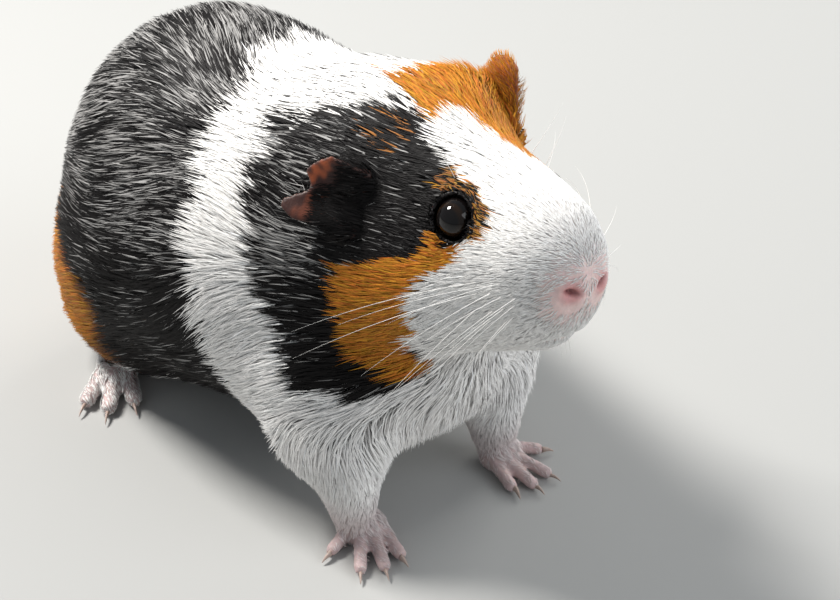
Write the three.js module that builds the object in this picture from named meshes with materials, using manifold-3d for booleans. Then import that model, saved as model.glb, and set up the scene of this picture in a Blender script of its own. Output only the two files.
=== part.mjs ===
// A guinea pig standing on all fours, life size, in millimetres.
// +X runs from rump to nose, +Y is the animal's left, +Z is up and the feet stand on z = 0.
// The solids reach to the tips of the coat.
import * as THREE from "three";
import { mergeVertices } from "three/addons/utils/BufferGeometryUtils.js";
import Module from "manifold-3d";

const wasm = await Module();
wasm.setup();

// Driving dimensions.
const GAP = 0.3; // clearance between neighbouring solids
const SIDES = { left: 1, right: -1 };
const HEAD = { at: [43, 1.8, 87], pitch: -9, yaw: -1, roll: -5 }; // middle of the skull; nose up is negative
const EYE = { radius: 4.8, at: [22.3, 12.7, 8.1] }; // in the head's frame, left side
const NOSTRIL = { at: [49.8, 4.4, -3.2], size: [2.6, 1.5, 1] };
const MOUTH = { at: [44, -17.5], size: [9, 7.5, 0.7], pitch: -16 }; // slit under the nose
const CELL = { trunk: 12, neck: 9, head: 6.2, foreleg: 5.4, hindleg: 10 }; // grids for reading the surfaces
// Ears, in the head's frame, left side: the two ends of the root and the rim points that they lead to,
// the scallop in the rim, as how far along it is and its width and depth as shares of the flap, and how
// much of the flap's reach the rounding takes at the ends of the rim.
const EARS = {
  left: {
    root: [[2, 23.3, 17.1], [-9, 27.7, 7.4]],
    rim: [[-2, 27.3, 35], [-17, 27.1, 25]],
    scallop: { at: 0.6, width: 0.12, depth: 0.08 },
    corner: 0.3,
  },
  right: {
    root: [[-3, 24.4, 17.4], [-3.5, 29.6, 2.4]],
    rim: [[-8.5, 27.6, 19.7], [-16, 40.5, 6.5]],
    scallop: { at: 0.54, width: 0.16, depth: 0.45 },
    corner: 0.45,
  },
};
const EAR = { sink: 5, thickness: 1.5, cup: 3.2 }; // how deep the root goes, and how hollow the flap is
// Feet, left side: middle of the foot on the floor, how far they point outwards in degrees, radii of the
// sole and the height of its middle, how far ahead the row of knuckles is, and for each toe its angle,
// its reach and where its own knuckle lies, forwards of the row and outwards.
const FOREFOOT = {
  at: { left: [46.6, 21.4], right: [45.7, 25.2] },
  yaw: { left: 9, right: 31 },
  sole: { radii: [6, 6, 5.5], middle: 2.5 },
  knuckle: 3,
  toes: [[-21, 10.5, -1, -4.6], [-8, 12.7, 0, -1.6], [7, 12.7, 0, 1.6], [42, 8.6, -2.2, 4.7]],
  toe: { radius: 1.8, slope: 7, claw: [3.6, 0.9] },
};
const HINDFOOT = {
  at: { left: [-58, 36], right: [-58, 36] },
  yaw: { left: 34, right: 38 },
  sole: { radii: [18, 6.2, 6], middle: 2.7 },
  knuckle: 9,
  toes: [[-14, 14, -1, -3.6], [2, 16, 0, 0], [16, 14, -1, 3.8]],
  toe: { radius: 2.3, slope: 7, claw: [5, 1.1] },
};
const TOE_TIP = 0.85; // height of the middle of a toe's tip in radii, so that it stands on a small flat
const CLAW = { droop: 12, sunk: 0.2, shape: [1, 0.8, 1.1] }; // degrees down, share inside the toe, shape
const FACETS = { ball: 12, nostril: 10, sole: 8, cutter: 16, toe: 6 }; // round a piece

const RAD = Math.PI / 180;

// The body as one smooth field.

function placeAt([x, y, z], { pitch = 0, yaw = 0, roll = 0 } = {}) {
  const turn = new THREE.Euler(roll * RAD, pitch * RAD, yaw * RAD, "ZYX");
  return new THREE.Matrix4().makeRotationFromEuler(turn).setPosition(x, y, z);
}
const headPose = placeAt(HEAD.at, HEAD);
const bodyPose = new THREE.Matrix4();

// An ellipsoid of flesh: its middle, its three radii and how far it melts into what is round it.
function lump(pose, at, size, melt, turn) {
  const inverse = pose.clone().multiply(placeAt(at, turn)).invert();
  return { inverse, size: new THREE.Vector3(...size), melt };
}

// The same lump on the left and the right.
function lumpPair(pose, [x, y, z], size, melt, { pitch = 0, yaw = 0, roll = 0 } = {}) {
  return [1, -1].map((side) =>
    lump(pose, [x, side * y, z], size, melt, { pitch, yaw: side * yaw, roll: side * roll }),
  );
}

const lumps = [
  lump(bodyPose, [-46, 0, 57], [47, 44, 50], 18), // rump and loins
  lump(bodyPose, [-22, 0, 49], [54, 49, 39.5], 24), // belly
  lump(bodyPose, [8, 0, 66], [42, 39, 43], 22), // shoulders
  lump(bodyPose, [24, 4, 84.5], [28, 30, 31], 14), // neck
  lump(bodyPose, [34, 0, 54], [28, 28, 34], 16), // chest
  lump(bodyPose, [33, 14, 98.5], [15, 10, 17], 7), // ruff behind the left ear
  ...lumpPair(bodyPose, [-56.5, 30.5, 29], [29, 18, 27], 14, { pitch: -10 }), // haunches
  ...lumpPair(bodyPose, [29, 26, 35], [20, 15, 23], 12), // upper arms
  lump(bodyPose, [44, 21, 17], [7.5, 7, 18], 8), // left forearm
  lump(bodyPose, [44, -27.8, 17], [7, 6.6, 18], 8), // right forearm
  lump(headPose, [-1.5, 0, 0], [31, 22.5, 24.5], 10), // skull
  lump(headPose, [25, 0, 0.5], [26, 14.5, 19], 10, { pitch: 8 }), // muzzle
  lump(headPose, [34, 0, -3.2], [16, 14.5, 17.5], 6), // nose
  ...lumpPair(headPose, [6, 13, -12], [22, 13, 17], 10), // cheeks
  ...lumpPair(headPose, [19, 8.5, 7], [11, 5.5, 6.5], 5), // eye rims
  lump(headPose, [16, 0, -15], [24, 13, 11], 10), // jaw
];

const local = new THREE.Vector3();
const scaled = new THREE.Vector3();

// Rough distance from a point to one lump, negative inside.
function lumpDistance(l, p) {
  local.copy(p).applyMatrix4(l.inverse);
  scaled.copy(local).divide(l.size);
  const k = scaled.length();
  const slope = scaled.divide(l.size).length();
  return slope < 1e-9 ? -l.size.x : (k * (k - 1)) / slope;
}

function meltTogether(a, b, melt) {
  const h = Math.max(melt - Math.abs(a - b), 0) / melt;
  return Math.min(a, b) - (h * h * melt) / 4;
}

const field = (p) => lumps.reduce((d, l) => meltTogether(d, lumpDistance(l, p), l.melt), 1e3);

// Surfaces.

// Moves a point near the surface on to it, along the field's slope.
function drawnOn(point, f, cell) {
  const h = 0.05;
  const ahead = new THREE.Vector3();
  const start = point.clone();
  for (let step = 0; step < 4; step++) {
    const d = f(point);
    const slope = new THREE.Vector3();
    for (let a = 0; a < 3; a++) {
      ahead.copy(point).setComponent(a, point.getComponent(a) + h);
      slope.setComponent(a, (f(ahead) - d) / h);
    }
    point.addScaledVector(slope, -d / Math.max(slope.lengthSq(), 0.05));
  }
  return point.sub(start).clampLength(0, cell * 0.5).add(start);
}

// Reads the field's zero surface inside a box as one closed mesh: a vertex in each grid cell that the
// surface crosses, drawn on to the surface, and a quad round each grid edge that it crosses.
function surfaceIn(box, cell, f = field) {
  const n = [0, 1, 2].map((a) => Math.ceil((box.max.getComponent(a) - box.min.getComponent(a)) / cell) + 1);
  const at = (i, j, k) => new THREE.Vector3(i, j, k).multiplyScalar(cell).add(box.min);
  const node = (i, j, k) => (k * n[1] + j) * n[0] + i;
  const value = new Float64Array(n[0] * n[1] * n[2]);
  for (let k = 0; k < n[2]; k++)
    for (let j = 0; j < n[1]; j++)
      for (let i = 0; i < n[0]; i++) {
        const rim = [i, j, k].some((c, a) => c === 0 || c === n[a] - 1);
        const d = f(at(i, j, k));
        value[node(i, j, k)] = rim ? Math.max(d, cell / 2) : d;
      }
  const position = [];
  const index = [];
  const vertexOf = new Map();
  const corner = (v) => new THREE.Vector3().fromArray(position, v * 3);
  const vertex = (i, j, k) => {
    const key = node(i, j, k);
    if (!vertexOf.has(key)) {
      const sum = new THREE.Vector3();
      let crossings = 0;
      for (let axis = 0; axis < 3; axis++)
        for (let c = 0; c < 4; c++) {
          const a = [i, j, k];
          a[(axis + 1) % 3] += c & 1;
          a[(axis + 2) % 3] += c >> 1;
          const b = [...a];
          b[axis] += 1;
          const va = value[node(...a)];
          const vb = value[node(...b)];
          if (va < 0 === vb < 0) continue;
          sum.add(at(...a).lerp(at(...b), va / (va - vb)));
          crossings += 1;
        }
      vertexOf.set(key, position.length / 3);
      position.push(...drawnOn(sum.divideScalar(crossings), f, cell).toArray());
    }
    return vertexOf.get(key);
  };
  for (let k = 0; k < n[2] - 1; k++)
    for (let j = 0; j < n[1] - 1; j++)
      for (let i = 0; i < n[0] - 1; i++)
        for (let axis = 0; axis < 3; axis++) {
          const b = [i, j, k];
          b[axis] += 1;
          const inside = value[node(i, j, k)] < 0;
          if (inside === value[node(...b)] < 0) continue;
          const u = [0, 0, 0];
          const v = [0, 0, 0];
          u[(axis + 1) % 3] = 1;
          v[(axis + 2) % 3] = 1;
          const q = [[0, 0], [1, 0], [1, 1], [0, 1]].map(([s, t]) =>
            vertex(i - s * u[0] - t * v[0], j - s * u[1] - t * v[1], k - s * u[2] - t * v[2]),
          );
          if (!inside) q.reverse();
          const middle = (a, b) => corner(a).add(corner(b)).multiplyScalar(0.5);
          const along = Math.abs(f(middle(q[0], q[2]))) < Math.abs(f(middle(q[1], q[3])));
          if (along) index.push(q[0], q[1], q[2], q[0], q[2], q[3]);
          else index.push(q[0], q[1], q[3], q[1], q[2], q[3]);
        }
  const geometry = new THREE.BufferGeometry();
  geometry.setAttribute("position", new THREE.Float32BufferAttribute(position, 3));
  geometry.setIndex(index);
  return geometry;
}

// Solids.

// A closed geometry as a solid, placed by a pose, which may mirror it.
function solidOf(geometry, pose = new THREE.Matrix4()) {
  const bare = geometry.clone();
  bare.deleteAttribute("normal");
  bare.deleteAttribute("uv");
  const merged = mergeVertices(bare.applyMatrix4(pose), 1e-3);
  const triVerts = new Uint32Array(merged.index.array);
  if (pose.determinant() < 0)
    for (let i = 0; i < triVerts.length; i += 3)
      [triVerts[i], triVerts[i + 1]] = [triVerts[i + 1], triVerts[i]];
  const vertProperties = new Float32Array(merged.attributes.position.array);
  return new wasm.Manifold(new wasm.Mesh({ numProp: 3, vertProperties, triVerts }));
}

function geometryOf(solid) {
  const mesh = solid.getMesh();
  const geometry = new THREE.BufferGeometry();
  geometry.setAttribute("position", new THREE.BufferAttribute(new Float32Array(mesh.vertProperties), 3));
  geometry.setIndex(new THREE.BufferAttribute(new Uint32Array(mesh.triVerts), 1));
  return geometry;
}

const posed = (solid, pose) => solidOf(geometryOf(solid), pose);
const onSide = (solid, side) => posed(solid, new THREE.Matrix4().makeScale(1, side, 1));
const joined = (solids) => solids.reduce((whole, s) => whole.add(s));
const boxAround = (min, max) => new THREE.Box3(new THREE.Vector3(...min), new THREE.Vector3(...max));

// Everything on the side of a plane that its pose's +X points to.
function halfSpace(pose, shift = 0) {
  const size = 400;
  return solidOf(new THREE.BoxGeometry(size, size, size).translate(size / 2 + shift, 0, 0), pose);
}

function ball([x, y, z], [rx, ry, rz], grow = 0, facets = FACETS.ball) {
  const sphere = new THREE.SphereGeometry(1, facets, Math.round(facets * 0.7));
  return solidOf(sphere.scale(rx + grow, ry + grow, rz + grow).translate(x, y, z));
}

const aboveFloor = halfSpace(placeAt([0, 0, 0], { pitch: -90 }));

// Ears.

// A cupped flap with a scalloped rim, wider by grow for its socket.
function earSolid({ root, rim, scallop, corner }, grow = 0) {
  const across = 9;
  const out = 5;
  const [rootFront, rootBack, rimFront, rimBack] = [...root, ...rim].map((p) => new THREE.Vector3(...p));
  const hollow = rootBack.clone().sub(rootFront).cross(rimFront.clone().sub(rootFront)).normalize();
  const point = (s, t) => {
    const wide = s + (s - 0.5) * grow * 0.2;
    const start = rootFront.clone().lerp(rootBack, wide);
    const reach = rimFront.clone().lerp(rimBack, wide).sub(start);
    const notch = scallop.depth * Math.exp(-(((s - scallop.at) / scallop.width) ** 2));
    const corners = corner * Math.abs(2 * s - 1) ** 3;
    const length = reach.length() * (1 - notch - corners);
    const along = (length + EAR.sink + grow) * t - EAR.sink - grow;
    const bulge = EAR.cup * Math.sin(Math.PI * s) * Math.sin(Math.PI * Math.min(0.85, 0.2 + 0.6 * t));
    return start.addScaledVector(reach.normalize(), along).addScaledVector(hollow, -bulge);
  };
  const normal = (s, t) => {
    const e = 0.02;
    const ds = point(Math.min(s + e, 1), t).sub(point(Math.max(s - e, 0), t));
    const dt = point(s, Math.min(t + e, 1)).sub(point(s, Math.max(t - e, 0)));
    return ds.cross(dt).normalize();
  };
  const position = [];
  const index = [];
  for (const face of [1, -1])
    for (let j = 0; j <= out; j++)
      for (let i = 0; i <= across; i++) {
        const [s, t] = [i / across, j / out];
        const inset = Math.min(s, 1 - s, 1 - t) * 6;
        const half = (EAR.thickness / 2) * Math.min(1, 0.5 + inset) + grow;
        position.push(...point(s, t).addScaledVector(normal(s, t), face * half).toArray());
      }
  const row = across + 1;
  const sheet = row * (out + 1);
  const quad = (a, b, c, d) => index.push(a, b, c, a, c, d);
  for (let j = 0; j < out; j++)
    for (let i = 0; i < across; i++) {
      const a = j * row + i;
      quad(a, a + 1, a + 1 + row, a + row);
      quad(sheet + a, sheet + a + row, sheet + a + 1 + row, sheet + a + 1);
    }
  const edge = [];
  for (let i = 0; i < across; i++) edge.push(i);
  for (let j = 0; j < out; j++) edge.push(j * row + across);
  for (let i = across; i > 0; i--) edge.push(out * row + i);
  for (let j = out; j > 0; j--) edge.push(j * row);
  edge.forEach((a, i) => {
    const b = edge[(i + 1) % edge.length];
    quad(b, a, sheet + a, sheet + b);
  });
  const geometry = new THREE.BufferGeometry();
  geometry.setAttribute("position", new THREE.Float32BufferAttribute(position, 3));
  geometry.setIndex(index);
  return solidOf(geometry);
}

// Feet.

// The pose of a toe's root in the foot's own frame; it slopes down to the tip.
function toePose(foot, [angle, reach, ahead, out]) {
  const { radius, slope } = foot.toe;
  const height = radius * TOE_TIP + reach * Math.sin(slope * RAD);
  return placeAt([foot.knuckle + ahead, out, height], { yaw: angle, pitch: slope });
}

function toeSolid(foot, toe, grow) {
  const { radius } = foot.toe;
  const reach = toe[1];
  const capsule = new THREE.CapsuleGeometry(radius + grow, reach - radius, 2, FACETS.toe);
  capsule.rotateZ(-Math.PI / 2).translate((reach - radius) / 2, 0, 0);
  return solidOf(capsule, toePose(foot, toe));
}

function clawSolid(foot, toe, grow = 0) {
  const [length, radius] = foot.toe.claw;
  const cone = new THREE.ConeGeometry(radius + grow, length + 2 * grow, FACETS.toe);
  cone.rotateZ(-Math.PI / 2).scale(...CLAW.shape).rotateY(CLAW.droop * RAD);
  cone.translate(toe[1] + length * (0.5 - CLAW.sunk), 0, 0);
  return solidOf(cone, toePose(foot, toe)).intersect(aboveFloor);
}

function footSolid(foot, grow = 0) {
  const sole = ball([0, 0, foot.sole.middle], foot.sole.radii, grow, FACETS.sole);
  return joined([sole, ...foot.toes.map((toe) => toeSolid(foot, toe, grow))]);
}

function stood(solid, foot, name) {
  const [x, y] = foot.at[name];
  return onSide(posed(solid, placeAt([x, y, 0], { yaw: foot.yaw[name] })), SIDES[name]);
}

// Where the body is parted.
const HEAD_BACK = placeAt([24, 0, 87], { pitch: -14 });
const HEAD_BASE = placeAt([40, 0, 61], { pitch: -75 });
const NECK_BACK = placeAt([8, 0, 87], { pitch: -34 });
const NECK_BASE = placeAt([40, 0, 47], { pitch: -84 });
const LEG_CUT = {
  foreleg: { at: [43, 26, 14], size: [20, 16, 24] },
  hindleg: { at: [-56, 48, 28], size: [34, 24, 34] },
};
function legCutter(kind, side, grow = 0) {
  const { at, size } = LEG_CUT[kind];
  return onSide(ball(at, size, grow, FACETS.cutter), side);
}
const headSpace = (grow) => halfSpace(HEAD_BACK, -grow).intersect(halfSpace(HEAD_BASE, -grow));
const neckSpace = (grow) => halfSpace(NECK_BACK, -grow).intersect(halfSpace(NECK_BASE, -grow));

// The animal.
const colours = {
  white: 0xeeeae6,
  black: 0x1d1b1c,
  ginger: 0xb96a2c,
  skin: 0xc9a9a2,
  claw: 0x5a4a44,
};
const animal = new THREE.Group();
function add(name, solid, color, roughness = 0.8) {
  const material = new THREE.MeshStandardMaterial({ color, roughness, metalness: 0 });
  const mesh = new THREE.Mesh(geometryOf(solid), material);
  mesh.name = name;
  animal.add(mesh);
}

let trunk = solidOf(surfaceIn(boxAround([-110, -60, -6], [80, 60, 125]), CELL.trunk))
  .subtract(neckSpace(GAP))
  .subtract(headSpace(GAP));
let neck = solidOf(surfaceIn(boxAround([-40, -60, 30], [90, 60, 130]), CELL.neck))
  .intersect(neckSpace(0))
  .subtract(headSpace(GAP));
let head = solidOf(surfaceIn(boxAround([10, -60, 30], [120, 60, 130]), CELL.head)).intersect(headSpace(0));
const inHead = (solid) => posed(solid, headPose);
const mouth = posed(ball([0, 0, 0], MOUTH.size), placeAt([MOUTH.at[0], 0, MOUTH.at[1]], MOUTH));
head = head.subtract(inHead(mouth));

for (const [name, side] of Object.entries(SIDES)) {
  const sided = (solid) => inHead(onSide(solid, side));
  const eye = (grow) => sided(ball(EYE.at, [EYE.radius, EYE.radius, EYE.radius], grow));
  const earSocket = sided(earSolid(EARS[name], GAP));
  const nostril = sided(ball(NOSTRIL.at, NOSTRIL.size, 0, FACETS.nostril));
  head = head.subtract(eye(GAP)).subtract(earSocket).subtract(nostril);
  neck = neck.subtract(earSocket);
  add("eye_" + name, eye(0), colours.black, 0.1);
  add("ear_" + name, sided(earSolid(EARS[name])), name === "left" ? colours.ginger : colours.black);

  const legs = { foreleg: FOREFOOT, hindleg: HINDFOOT };
  for (const [leg, foot] of Object.entries(legs)) {
    const cutter = legCutter(leg, side);
    const reach = cutter.boundingBox();
    const box = boxAround(reach.min, reach.max);
    box.expandByScalar(CELL[leg] * 2);
    const footRoom = stood(footSolid(foot, GAP), foot, name);
    const round = solidOf(surfaceIn(box, CELL[leg])).intersect(aboveFloor);
    const upper = round.intersect(cutter).subtract(footRoom);
    trunk = trunk.subtract(legCutter(leg, side, GAP)).subtract(footRoom);
    let lower = footSolid(foot).intersect(aboveFloor);
    const kind = leg.replace("leg", "");
    foot.toes.forEach((toe, i) => {
      lower = lower.subtract(clawSolid(foot, toe, GAP));
      const claw = stood(clawSolid(foot, toe), foot, name);
      add("claw_" + kind + "_" + name + "_" + (i + 1), claw, colours.claw, 0.4);
    });
    add(leg + "_" + name, upper, leg === "foreleg" ? colours.white : colours.black);
    add(kind + "foot_" + name, stood(lower, foot, name), colours.skin);
  }
}
add("trunk", trunk.intersect(aboveFloor), colours.white);
add("neck", neck, colours.white);
add("head", head, colours.white);

// The origin is the middle of the whole on the floor.
const middle = new THREE.Box3().setFromObject(animal).getCenter(new THREE.Vector3());
animal.position.set(-middle.x, -middle.y, 0);
const guineaPig = new THREE.Group().add(animal);

export default guineaPig;
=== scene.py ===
import math

import bmesh
import bpy
import numpy as np
from mathutils import Euler, Matrix, Vector
from mathutils.bvhtree import BVHTree
from mathutils.kdtree import KDTree


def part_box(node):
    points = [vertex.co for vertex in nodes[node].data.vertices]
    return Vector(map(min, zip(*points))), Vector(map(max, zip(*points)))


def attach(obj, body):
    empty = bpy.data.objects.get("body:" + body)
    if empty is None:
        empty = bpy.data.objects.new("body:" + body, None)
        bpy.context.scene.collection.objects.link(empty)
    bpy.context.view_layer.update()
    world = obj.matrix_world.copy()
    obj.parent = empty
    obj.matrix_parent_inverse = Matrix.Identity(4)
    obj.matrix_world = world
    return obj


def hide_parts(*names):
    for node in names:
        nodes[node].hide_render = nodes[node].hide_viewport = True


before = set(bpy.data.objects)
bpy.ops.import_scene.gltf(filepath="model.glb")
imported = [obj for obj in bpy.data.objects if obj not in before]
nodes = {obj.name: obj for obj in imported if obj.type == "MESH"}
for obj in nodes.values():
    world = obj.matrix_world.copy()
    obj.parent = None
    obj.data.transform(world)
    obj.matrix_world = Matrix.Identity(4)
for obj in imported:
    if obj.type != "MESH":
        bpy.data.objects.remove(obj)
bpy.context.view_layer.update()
mm = 0.001
random = np.random.default_rng(7)


# where things are, taken from the frame (millimetres in the row frame)
def boxMiddle(name):
    low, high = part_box(name)
    return np.array((low + high) / 2) / mm


def boxSize(name):
    low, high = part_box(name)
    return np.array(high - low) / mm


sides = (("left", 1), ("right", -1))  # with the sign of y
eyeMiddle = {side: boxMiddle("eye_" + side) for side, _ in sides}
eyeRadius = float(boxSize("eye_left").max()) / 2
headTilt = (-5, -9, -1)  # left cheek down, nose up and hardly turned, degrees
headTurn = np.array(Euler([math.radians(a) for a in headTilt]).to_matrix())
eyeInHead = np.array([22.3, 12.7, 8.1])  # the left eye in the head's own frame
headMiddle = (eyeMiddle["left"] + eyeMiddle["right"]) / 2 - headTurn @ (eyeInHead * [1, 0, 1])


# The same points in the head's own frame.
def inHead(p):
    return (p - headMiddle) @ headTurn


def eyeDistance(p, side):
    return np.linalg.norm(p - eyeMiddle[side], axis=1)


# The way an eye looks; sign is 1 on the left and -1 on the right.
def gaze(sign):
    return headTurn @ unit(np.array([0.25, sign, 0.2]))


# Points of the head's frame as seen from a nostril's middle.
def fromNostril(h, sign):
    return h - np.array(skinPlan["nostril"]) * [1, sign, 1]


# 1 in the middle of a nostril's slit, which is so high; off is measured from the nostril.
def nostrilSlit(off, sign, height):
    tilt = off[:, 2] - 0.35 * off[:, 1] * sign
    return np.exp(-(off[:, 0] / 1.9) ** 2 - (tilt / height) ** 2 - (off[:, 1] / 1.4) ** 2)


# 1 on the line where the lips meet, fading over width millimetres.
def lipLine(h, width):
    return np.exp(-((h[:, 2] + 16.5 + 0.22 * np.abs(h[:, 1])) / width) ** 2)


# 0 at low, 1 at high, eased at both ends.
def smooth(low, high, x):
    t = np.clip((x - low) / (high - low), 0, 1)
    return t * t * (3 - 2 * t)


def unit(v):
    return v / np.maximum(np.linalg.norm(v, axis=-1, keepdims=True), 1e-9)


# A smooth wandering value in about -1..1 for each point, with bumps about size millimetres across.
def wander(p, size, seed):
    rng = np.random.default_rng(seed)
    total = np.zeros(len(p))
    for _ in range(7):
        wave = unit(rng.normal(size=3)) * 2 * math.pi / (size * rng.uniform(1.2, 3.2))
        total += np.sin(p @ wave + rng.uniform(0, 2 * math.pi))
    return total / 2.6


def mixColour(base, colour, weight):
    return base + (np.array(colour) - base) * np.clip(weight, 0, 1)[:, None]


# Markings: one function colours the skin and the coat.
markings = {
    "white": (0.92, 0.90, 0.875),
    "black": (0.008, 0.007, 0.007),
    "ginger": (0.52, 0.175, 0.022),
    "golden": (0.42, 0.17, 0.045),  # the mottled hairs, and the painted glints among the black on top of the head
    "brown": (0.06, 0.02, 0.008),  # where the haunch's ginger runs into the black
    "silverGlint": (0.2, 0.195, 0.19),  # single silver hairs among the black, also standing in as painted highlights where light falls on the top
    "edge": 1.5,  # how far the borders wander, mm
    # the right cheek's ginger, seen from the side as (x, z)
    "cheek": [(38, 82), (47, 86), (54, 90), (60, 94), (65, 97), (72, 100.5), (69, 95), (60, 86), (59, 79),
              (61, 74), (56, 64), (56.5, 56), (53, 51), (45.5, 57), (40.5, 63), (38, 70)],
    # the ginger over the left ear and eye, seen from above as (x, y)
    "crown": [(23, 3), (40, 0), (42, 8), (47, 8.8), (57, 7.5), (62, 11), (70, 16), (70, 60),
              (16, 60), (20, 12)],
    # how low that ginger comes down the left of the face: along x, the height z
    "crownFoot": ([24, 45, 60, 72], [70, 56, 74, 98]),
    # front border of the black rump: up z, the place x
    "rumpEdge": ([37, 47, 60, 71, 83, 92, 101, 105], [6, 4, -0.5, -4.5, -7, -10.5, -14, -20]),
    # top border of the face's black: along x, the distance to the right of the middle
    "topEdge": ([4, 12, 22, 27, 31, 36, 40, 51, 59, 65, 71, 74],
                [19, 16, 12.5, 7, 2.5, 0.5, 1.2, 6.3, 8, 8.5, 9.7, 12.7]),
    # front border of the face's black: up z, the place x
    "faceEdge": ([46, 52, 58, 66, 72, 79, 85, 88, 93, 97.5, 102, 105],
                 [50, 54, 57.5, 56.5, 55.5, 57, 59.5, 61.5, 65, 69, 71.5, 71]),
    "eyeRing": {"left": 1.1, "right": 1.9},  # how wide the black round each eye is, mm
}


# How far inside a closed outline the points (u, v) are, negative outside it.
def withinOutline(u, v, outline):
    nearest = np.full(len(u), 1e9)
    inside = np.zeros(len(u), bool)
    for (u0, v0), (u1, v1) in zip(outline, outline[1:] + outline[:1]):
        du, dv = u1 - u0, v1 - v0
        t = np.clip(((u - u0) * du + (v - v0) * dv) / (du * du + dv * dv), 0, 1)
        nearest = np.minimum(nearest, np.hypot(u - u0 - t * du, v - v0 - t * dv))
        if dv:
            inside ^= ((v0 > v) != (v1 > v)) & (u < du * (v - v0) / dv + u0)
    return np.where(inside, nearest, -nearest)


def lowest(*fields):
    return np.minimum.reduce(np.broadcast_arrays(*fields))


# How far p is inside the black, the ginger, the mottled ginger with the painted glints, and the ginger of the
# hind end, in mm, and negative outside them; the rest is white. Fray moves the borders.
def patches(p, fray=0.0):
    x, y, z = p.T
    wobble = markings["edge"] * (wander(p, 7, 3) + 0.6 * wander(p, 3, 4)) + fray
    right = -y

    rumpEdge = np.interp(z, *markings["rumpEdge"]) - 0.54 * np.clip(y + 8, 0, 24)
    rump = lowest(rumpEdge - x, z - 9) + wobble * 1.4

    below = 105 - z
    backEdge = 5 + 0.25 * below + 0.0038 * below * below
    face = lowest(right - np.interp(x, *markings["topEdge"]), np.interp(z, *markings["faceEdge"]) - x)
    shoulder = lowest(x - backEdge, face, z - 47) + wobble
    leftShoulder = 27 - np.hypot((x - 6) / 0.75, (z - 78) / 1.25)
    leftShoulder = lowest(leftShoulder, y - 14) + wobble
    spot = 3 - np.linalg.norm(p - [30.5, -1.5, 112], axis=1) + wobble * 0.3
    eyeRing = np.maximum.reduce([eyeRadius + width - eyeDistance(p, side)
                                 for side, width in markings["eyeRing"].items()])
    black = np.maximum.reduce([rump, shoulder, leftShoulder, spot, eyeRing])

    cheek = lowest(withinOutline(x, z, markings["cheek"]), right - 8) + wobble * 0.6
    brow = lowest(4.2 - face, face + 1, x - 54 + 0.5 * (106 - z), z - 97, right - 4) + wobble * 0.5
    crown = withinOutline(x, y, markings["crown"]) + wobble
    leftFace = lowest(crown, z - np.interp(x, *markings["crownFoot"]))
    underEye = 2.2 - np.hypot(x - 60.5, (z - 96.5) / 0.8) - 4 * (right < 8) + wobble * 0.4
    haunch = lowest(-43.5 - x, 10 - 0.6 * x - z, right - 12, z - 10) + wobble
    rear = lowest(-72 - x, 80 - z - 0.02 * y * y) + wobble + 5 * wander(p, 26, 51)
    ginger = np.maximum.reduce([cheek, brow, underEye, leftFace, haunch, rear])
    # painted highlights: a patch on top of the head where golden hairs stand in for light glinting on the
    # black
    glints = 5 - np.hypot((x - 35) / 1.3, y + 9)
    ginger = lowest(ginger, -eyeRing)
    mottled = lowest(np.maximum(brow, np.where((right > 0) & (z > 95), glints, -9)), -eyeRing)
    return black, ginger, mottled, np.maximum(haunch, rear)


def coatColour(p, fray=0.0):
    black, ginger, _, hind = patches(p, fray)
    colour = np.tile(markings["white"], (len(p), 1))
    colour[black > 0] = markings["black"]
    colour[ginger > 0] = markings["ginger"]
    rusty = (hind > 0) & (hind >= ginger)
    colour[rusty] = mixColour(np.array(markings["brown"]), markings["ginger"], smooth(0, 6, hind))[rusty]
    return colour


# How silvery the black is: real silver hairs, with many more as painted highlights on the back and the
# shoulder where light falls from above, and hardly any on the face.
def silverGlintShare(p):
    x, _, z = p.T
    # painted highlight: more silver hairs higher up, where the light falls
    sunlitTop = smooth(50, 88, z)
    underEar = np.exp(-(np.linalg.norm(p - [28, -35, 82], axis=1) / 11) ** 2)
    share = np.where(x < 2, 0.06 + 0.4 * sunlitTop, 0.03 + 0.34 * sunlitTop * smooth(34, 20, x) + 0.28 * underEar)
    byEar = np.exp(-(np.linalg.norm(p - boxMiddle("ear_right"), axis=1) / 9) ** 2)
    return share * (1 + 0.5 * wander(p, 9, 41)) * (1 - byEar)


# How deep the coat is, and which way it lies.
coat = {
    "bodyDepth": 4.6,  # mm, as all depths
    # along the head, in its own frame
    "headDepth": ([-26, -12, 6, 24, 34, 42, 47, 51], [4.6, 3.6, 2.3, 1.5, 1.1, 0.7, 0.35, 0.2]),
    "legDepth": ([0, 6, 12, 22, 40], [0.15, 0.35, 0.8, 1.8, 4.4]),  # up a foreleg
    "hindDepth": ([0, 6, 14, 24], [0.2, 0.6, 2.2, 4.6]),  # up a hind leg
    "nose": (53, 0, 1),  # the hair of the head runs back from here, in the head's frame
}


def depthAt(p):
    h = inHead(p)
    body = np.full(len(p), coat["bodyDepth"])
    head = np.interp(h[:, 0], *coat["headDepth"])
    chin = smooth(-14, -30, h[:, 2])
    head = head + chin * np.clip(1.2 - head * 0.2, 0, 2) * smooth(46, 34, h[:, 0])
    isHead = smooth(-36, -26, h[:, 2]) * smooth(-30, -16, h[:, 0])
    depth = body * (1 - isHead) + head * isHead
    leg = np.interp(p[:, 2], *coat["legDepth"])
    isLeg = smooth(20, 28, p[:, 0]) * smooth(44, 30, p[:, 2])
    depth = depth * (1 - isLeg) + np.minimum(depth, leg) * isLeg
    hindLeg = np.interp(p[:, 2], *coat["hindDepth"])
    return np.where(p[:, 0] < 10, np.minimum(depth, hindLeg), depth)


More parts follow.
